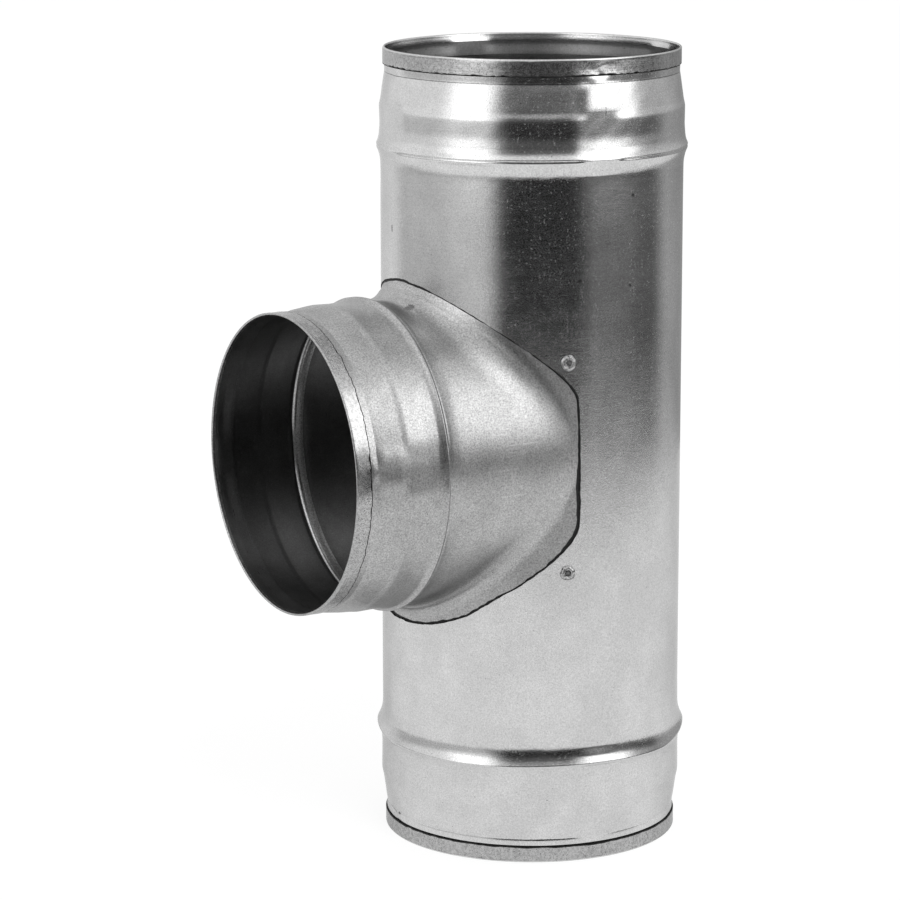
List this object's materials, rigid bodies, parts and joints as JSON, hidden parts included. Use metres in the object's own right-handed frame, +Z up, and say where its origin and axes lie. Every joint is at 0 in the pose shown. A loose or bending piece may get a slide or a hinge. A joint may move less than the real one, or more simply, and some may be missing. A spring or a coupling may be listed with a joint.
{
  "type": "duct tee",
  "caption": "Equal ninety degree duct tee of galvanised sheet: a straight pipe with a riveted branch collar and a hemmed, beaded spigot at every mouth.",
  "frame": {"origin": "centre of the lower mouth, in the plane of its hem", "axes": "+Z up along the main pipe, +X out along the branch"},
  "size_m": [0.1809, 0.1278, 0.325],
  "materials": {
    "galvanised_sheet": "bright galvanised, rolled",
    "rivet_metal": "bare, dull"
  },
  "bodies": {
    "root": {"main_pipe": "galvanised_sheet", "branch_collar": "galvanised_sheet", "rivet_front_upper": "rivet_metal", "rivet_front_lower": "rivet_metal", "rivet_rear_upper": "rivet_metal", "rivet_rear_lower": "rivet_metal"}
  },
  "joints": []
}
